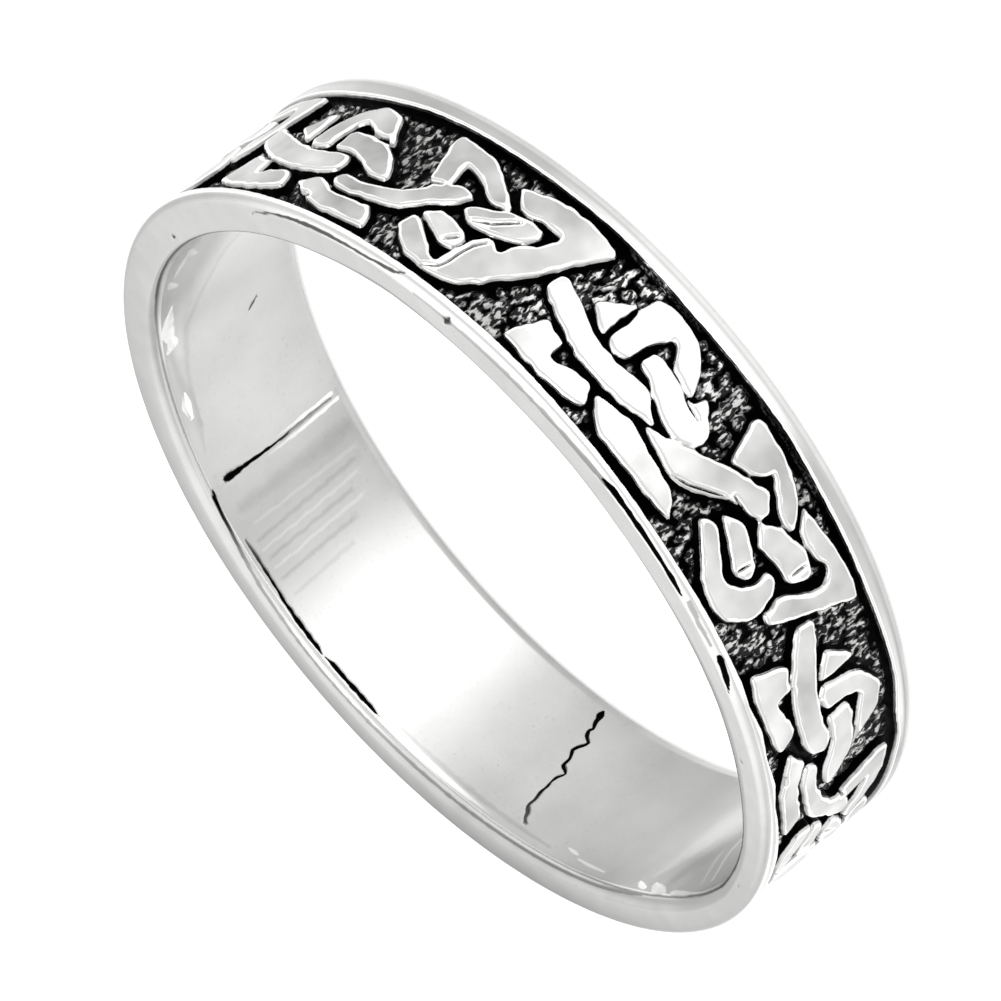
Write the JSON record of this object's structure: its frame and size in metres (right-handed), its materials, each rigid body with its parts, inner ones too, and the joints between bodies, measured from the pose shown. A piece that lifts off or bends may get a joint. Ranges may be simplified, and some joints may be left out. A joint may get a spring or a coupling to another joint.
{
  "type": "silver band ring with celtic knotwork",
  "caption": "Cast silver finger ring: a flat band with two plain rails and a recessed panel of raised interlaced knotwork all the way round.",
  "frame": {"origin": "centre of the far side face, on the finger axis, where the ring lies on a surface", "axes": "+Z along the finger axis, from the wider rail's side to the narrower rail's side"},
  "size_m": [0.0222, 0.0222, 0.005],
  "materials": {
    "silver": "polished sterling silver, blackened in the recesses of the knotwork"
  },
  "bodies": {
    "root": {"ring_band": "silver"}
  },
  "joints": []
}
